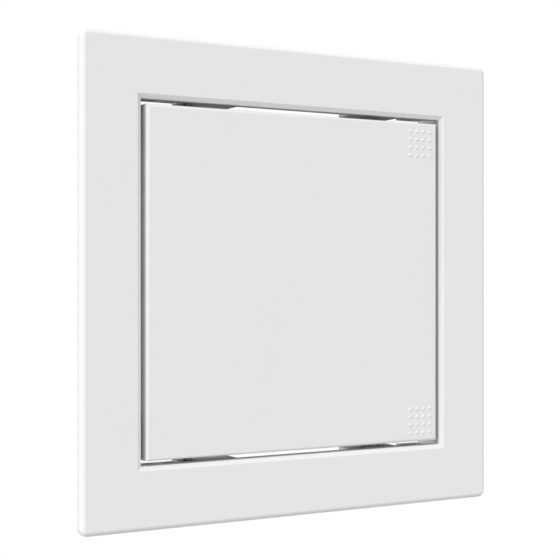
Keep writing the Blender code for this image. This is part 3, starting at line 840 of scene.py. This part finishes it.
def surface(name, colour, other, roughness, grain, relief, metallic=0.0, shade_amount=0.0):
    """A moulded or drawn surface: slow changes of tone, and a fine grain in gloss and relief."""
    made = bpy.data.materials.new(name)
    recipe = Recipe(made)
    place = recipe.node("ShaderNodeTexCoord", out="Object")
    cloud = noise(recipe, place, 28.0, 4.0)
    speck = noise(recipe, place, grain, 3.0)
    fine = noise(recipe, place, 4.0 * grain, 2.0)
    tone = recipe.node("ShaderNodeClamp", None, {"Value": 0.75 * cloud + 0.25 * speck})
    gloss = roughness + 0.10 * (cloud - 0.5) + 0.12 * (speck - 0.5)
    height = 0.7 * speck + 0.3 * fine
    bump = recipe.node("ShaderNodeBump", None, {"Strength": 0.25, "Distance": relief, "Height": height})
    shader = recipe.node("ShaderNodeBsdfPrincipled", None, {
        "Base Color": blend(recipe, tone, colour, other), "Roughness": gloss, "Metallic": metallic,
        "IOR": 1.46, "Normal": bump})
    # Painted shade: a matt grey mixed over the surface down the gap round the door, where shade falls
    if shade_amount:
        shade_bsdf = recipe.node("ShaderNodeBsdfDiffuse", None, {"Color": (*PAINTED_SHADE_GREY, 1.0), "Roughness": 0.6})
        cover = shade_amount * painted_gap_shade(recipe, place)
        shader = recipe.node("ShaderNodeMixShader", None, {0: cover, 1: shader, 2: shade_bsdf})
    recipe.node("ShaderNodeOutputMaterial", None, {"Surface": shader})
    return made


# Studio

def camera():
    data = bpy.data.cameras.new("camera")
    data.lens = LENS_MM
    data.sensor_width = SENSOR_MM
    data.clip_start = 0.01
    data.clip_end = 50.0
    item = bpy.data.objects.new("camera", data)
    item.location = (SIDEWAYS, FRONT_Y - STAND_OFF, CAMERA_UP)
    item.rotation_euler = (math.radians(90.0), 0.0, -VIEW_TURN)
    bpy.context.scene.collection.objects.link(item)
    bpy.context.scene.camera = item


def studio():
    """A soft dome, brighter above and to the left, in front of a white backdrop."""
    world = bpy.data.worlds.new("studio")
    bpy.context.scene.world = world
    recipe = Recipe(world)
    way = recipe.node("ShaderNodeTexCoord", out="Generated")

    def towards(direction):
        settings = {"operation": "DOT_PRODUCT"}
        return recipe.node("ShaderNodeVectorMath", settings, {0: way, 1: direction}, "Value")

    def lobe(direction, squarings):
        """Strong in one direction and nought past its sides. Each squaring narrows it."""
        strong = recipe.node("ShaderNodeMath", {"operation": "MAXIMUM"}, {0: towards(direction), 1: 0.0})
        for _ in range(squarings):
            strong = strong * strong
        return strong

    bright = DOME + towards(DOME_SLOPE) + KEY * lobe(KEY_WAY, 3) + FILL * lobe(BACK_WAY, 3)
    shaded = bright - BEHIND * lobe(BACK_WAY, 0) - AHEAD * lobe(FRONT_WAY, 2) - LOW * lobe(LOW_WAY, 2)
    strength = recipe.node("ShaderNodeMath", {"operation": "MAXIMUM"}, {0: shaded, 1: DARKEST})
    dome = recipe.node("ShaderNodeBackground", None, {"Color": WHITE, "Strength": strength})
    white = recipe.node("ShaderNodeBackground", None, {"Color": WHITE, "Strength": 1.0})
    seen = 0.0
    for kind in ("Is Camera Ray", "Is Glossy Ray", "Is Transmission Ray"):
        seen = recipe.node("ShaderNodeLightPath", out=kind) + seen
    mixed = recipe.node("ShaderNodeMixShader", None, {0: seen, 1: dome, 2: white})
    recipe.node("ShaderNodeOutputWorld", None, {"Surface": mixed})


def floor():
    bpy.ops.object.select_all(action="DESELECT")
    bpy.ops.mesh.primitive_plane_add(size=FLOOR_SIZE, location=(0.0, 0.0, FLOOR_Z))
    ground = new_piece("floor")
    for way in ("visible_diffuse", "visible_glossy", "visible_transmission", "visible_shadow"):
        setattr(ground, way, False)
    pale = surface("pale_floor", (0.90, 0.90, 0.90), (0.88, 0.88, 0.88), 0.7, 300.0, 0.00001)
    ground.data.materials.append(pale)


def main():
    camera()
    studio()
    floor()
    bpy.context.scene.view_settings.view_transform = "Standard"
    # The white plastic gets painted shade down the gap round the door
    white = surface(
        "white_abs", (0.870, 0.870, 0.870), (0.852, 0.852, 0.852), 0.32, 1500.0, 0.00003, shade_amount=0.9)
    acetal = surface(
        "grey_acetal", (0.31, 0.31, 0.32), (0.27, 0.27, 0.28), 0.45, 1300.0, 0.00003)
    steel = surface(
        "black_steel", (0.21, 0.21, 0.22), (0.17, 0.17, 0.18), 0.35, 2200.0, 0.00001, metallic=1.0)
    wire = surface(
        "spring_wire", (0.58, 0.59, 0.61), (0.50, 0.51, 0.53), 0.26, 2600.0, 0.00001, metallic=1.0)
    rubber = surface(
        "pad_rubber", (0.72, 0.72, 0.71), (0.66, 0.66, 0.65), 0.80, 1800.0, 0.00005)

    finish_piece(frame_body(), "frame", "frame", white)
    finish_piece(door_leaf(), "door", "door", white)
    for made, body, node, slot, finish in (
            (hinge_pin(), "frame", "hinge_pin", "black_steel", steel),
            (snap_bolt(), None, "latch_bolt", "grey_acetal", acetal),
            (bolt_spring(), "door", "latch_spring", "spring_steel", wire),
            (guide_cover(), "door", "latch_cover", "white_plastic", white),
            (stop_pad(), "frame", "stop_pad", "pad_rubber", rubber)):
        below = turned_over(made, made.name.replace("above", "below"))
        finish_piece(made, body or "bolt_top", node + "_top", finish)
        finish_piece(below, body or "bolt_bottom", node + "_bottom", finish)
        if node == "latch_spring":
            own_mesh(made)
            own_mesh(below)


main()
